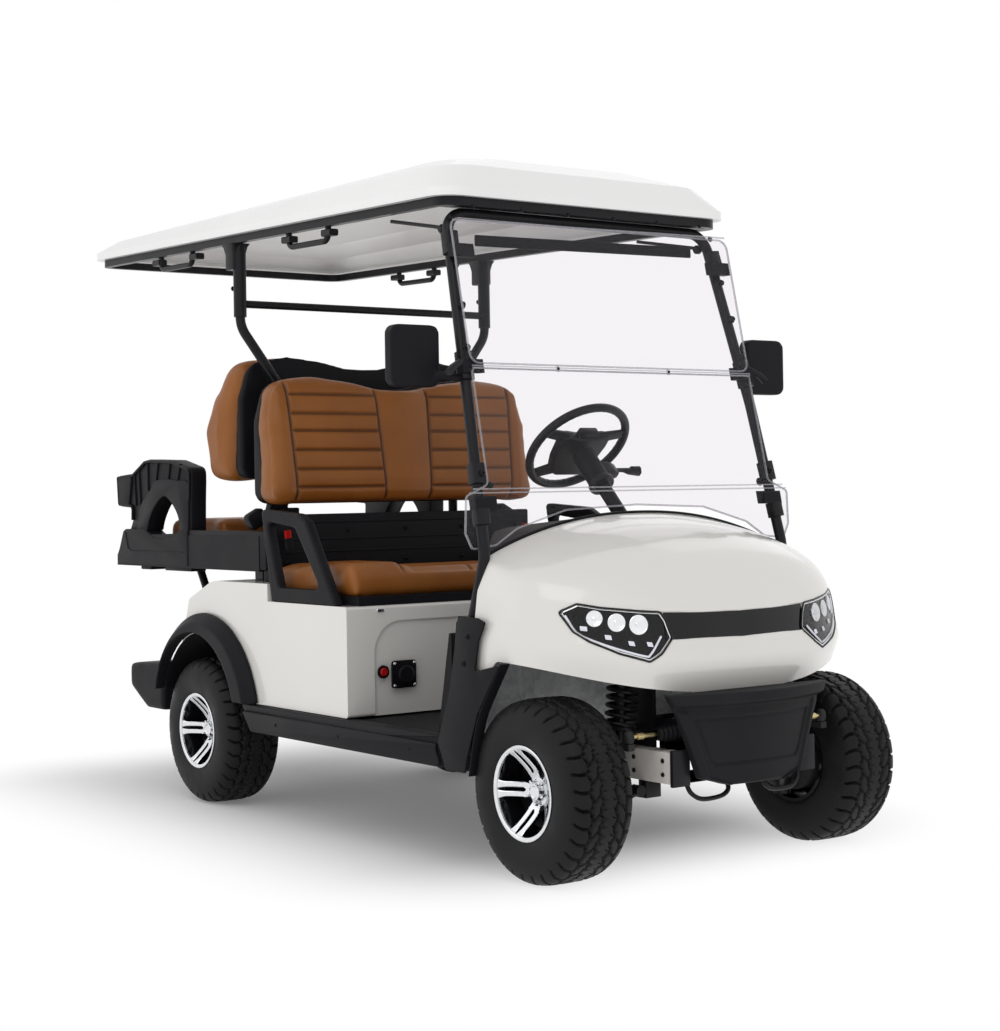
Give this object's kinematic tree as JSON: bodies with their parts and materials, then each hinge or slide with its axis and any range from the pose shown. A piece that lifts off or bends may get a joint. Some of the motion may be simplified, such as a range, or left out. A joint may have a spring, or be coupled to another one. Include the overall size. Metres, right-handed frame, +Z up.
{
  "type": "golf cart",
  "caption": "Electric golf cart with a tilting front bench, a rear-facing flip bench on a deck, a moulded roof, a folding two-pane windscreen and steered front wheels.",
  "frame": {"origin": "on the ground under the middle of the cart's bounding box", "axes": "+Z up; the cart's front faces -Y; +X is its left, the driver's side"},
  "size_m": [1.38, 2.85, 1.8879],
  "materials": {
    "alloy": "machined faces with black pockets",
    "tyre": "black, all-terrain blocks",
    "frame_black": "satin black",
    "galvanised": "bright zinc",
    "cast": "dark, rough",
    "steel": "yellow zinc",
    "body_white": "warm off-white, glossy",
    "roof_white": "white, satin underside",
    "black_plastic": "fine grain",
    "black_gloss": "smooth black",
    "floor_mat": "ribbed",
    "leather": "tan, stitched",
    "clear_pane": "clear, flat",
    "lamp_lens": "clear, glossy",
    "tail_lens": "red, glossy"
  },
  "bodies": {
    "root": {"chassis_frame": "frame_black", "front_subframe": "galvanised", "front_suspension_arms": "frame_black", "front_shocks": "frame_black", "rack_housing": "black_plastic", "rear_axle": "cast", "leaf_springs": "frame_black", "battery_pack": "black_plastic", "floor_pan": "floor_mat", "rocker_panels": "black_plastic", "front_struts": "frame_black", "pillar_covers": "black_plastic", "front_bulkhead": "galvanised", "front_cowl": "body_white", "light_bar": "black_gloss", "headlight_lenses": "lamp_lens", "front_bumper": "black_plastic", "steering_column": "black_plastic", "dashboard": "black_plastic", "pedals": "black_plastic", "rear_body": "body_white", "fender_flares": "black_plastic", "charge_port": "black_plastic", "hip_restraints": "black_plastic", "front_seat_back": "leather", "seat_back_shells": "black_plastic", "rear_seat_back": "leather", "rear_deck": "black_plastic", "rear_armrests": "black_plastic", "wheel_liners": "black_plastic", "rear_step": "black_plastic", "deck_stays": "frame_black", "roof_shell": "roof_white", "roof_frame": "frame_black", "windscreen_upper": "clear_pane", "windscreen_lower": "clear_pane", "windscreen_clips": "black_plastic", "rear_struts": "frame_black", "mirrors": "black_plastic", "seat_belts": "black_plastic", "tail_lights": "tail_lens"},
    "knuckle_left": {"knuckle_left": "cast"},
    "knuckle_right": {"knuckle_right": "cast"},
    "wheel_front_left": {"rim_front_left": "alloy", "tyre_front_left": "tyre"},
    "wheel_front_right": {"rim_front_right": "alloy", "tyre_front_right": "tyre"},
    "wheel_rear_left": {"rim_rear_left": "alloy", "tyre_rear_left": "tyre"},
    "wheel_rear_right": {"rim_rear_right": "alloy", "tyre_rear_right": "tyre"},
    "steering_rack": {"steering_rack": "steel"},
    "steering_wheel": {"steering_wheel": "black_plastic"},
    "front_seat": {"front_seat_board": "black_plastic", "front_seat_cushion": "leather"},
    "rear_seat": {"rear_seat_panel": "black_plastic", "rear_seat_cushion": "leather"}
  },
  "joints": [
    {"name": "steer_left", "type": "hinge", "parent": "root", "child": "knuckle_left", "pos_m": [0.33, -1.128, 0.25], "axis": [0, 0, 1], "range_deg": [-28, 28]},
    {"name": "steer_right", "type": "hinge", "parent": "root", "child": "knuckle_right", "pos_m": [-0.33, -1.128, 0.25], "axis": [0, 0, 1], "range_deg": [-28, 28]},
    {"name": "rack_slide", "type": "slide", "parent": "root", "child": "steering_rack", "axis": [1, 0, 0], "range_m": [-0.0735, 0.0735]},
    {"name": "steering_wheel_turn", "type": "hinge", "parent": "root", "child": "steering_wheel", "pos_m": [0.25, -0.364, 1.096], "axis": [0, 0.6948, 0.7192], "range_deg": [-365, 365]},
    {"name": "wheel_front_left", "type": "hinge", "parent": "knuckle_left", "child": "wheel_front_left", "pos_m": [0.4545, -1.128, 0.228], "axis": [1, 0, 0], "continuous": true},
    {"name": "wheel_rear_left", "type": "hinge", "parent": "root", "child": "wheel_rear_left", "pos_m": [0.463, 0.572, 0.228], "axis": [1, 0, 0], "continuous": true},
    {"name": "wheel_front_right", "type": "hinge", "parent": "knuckle_right", "child": "wheel_front_right", "pos_m": [-0.4545, -1.128, 0.228], "axis": [1, 0, 0], "continuous": true},
    {"name": "wheel_rear_right", "type": "hinge", "parent": "root", "child": "wheel_rear_right", "pos_m": [-0.463, 0.572, 0.228], "axis": [1, 0, 0], "continuous": true},
    {"name": "front_seat_tilt", "type": "hinge", "parent": "root", "child": "front_seat", "pos_m": [0, -0.316, 0.6503], "axis": [1, 0, 0], "range_deg": [0, 50]},
    {"name": "rear_seat_flip", "type": "hinge", "parent": "root", "child": "rear_seat", "pos_m": [0, 1.0923, 0.83], "axis": [-1, 0, 0], "range_deg": [0, 180]}
  ],
  "couplings": [
    {"joint": "steer_right", "follows": "steer_left", "ratio": 1},
    {"joint": "rack_slide", "follows": "steer_left", "m_per_rad": 0.15},
    {"joint": "steering_wheel_turn", "follows": "steer_left", "ratio": 13}
  ]
}
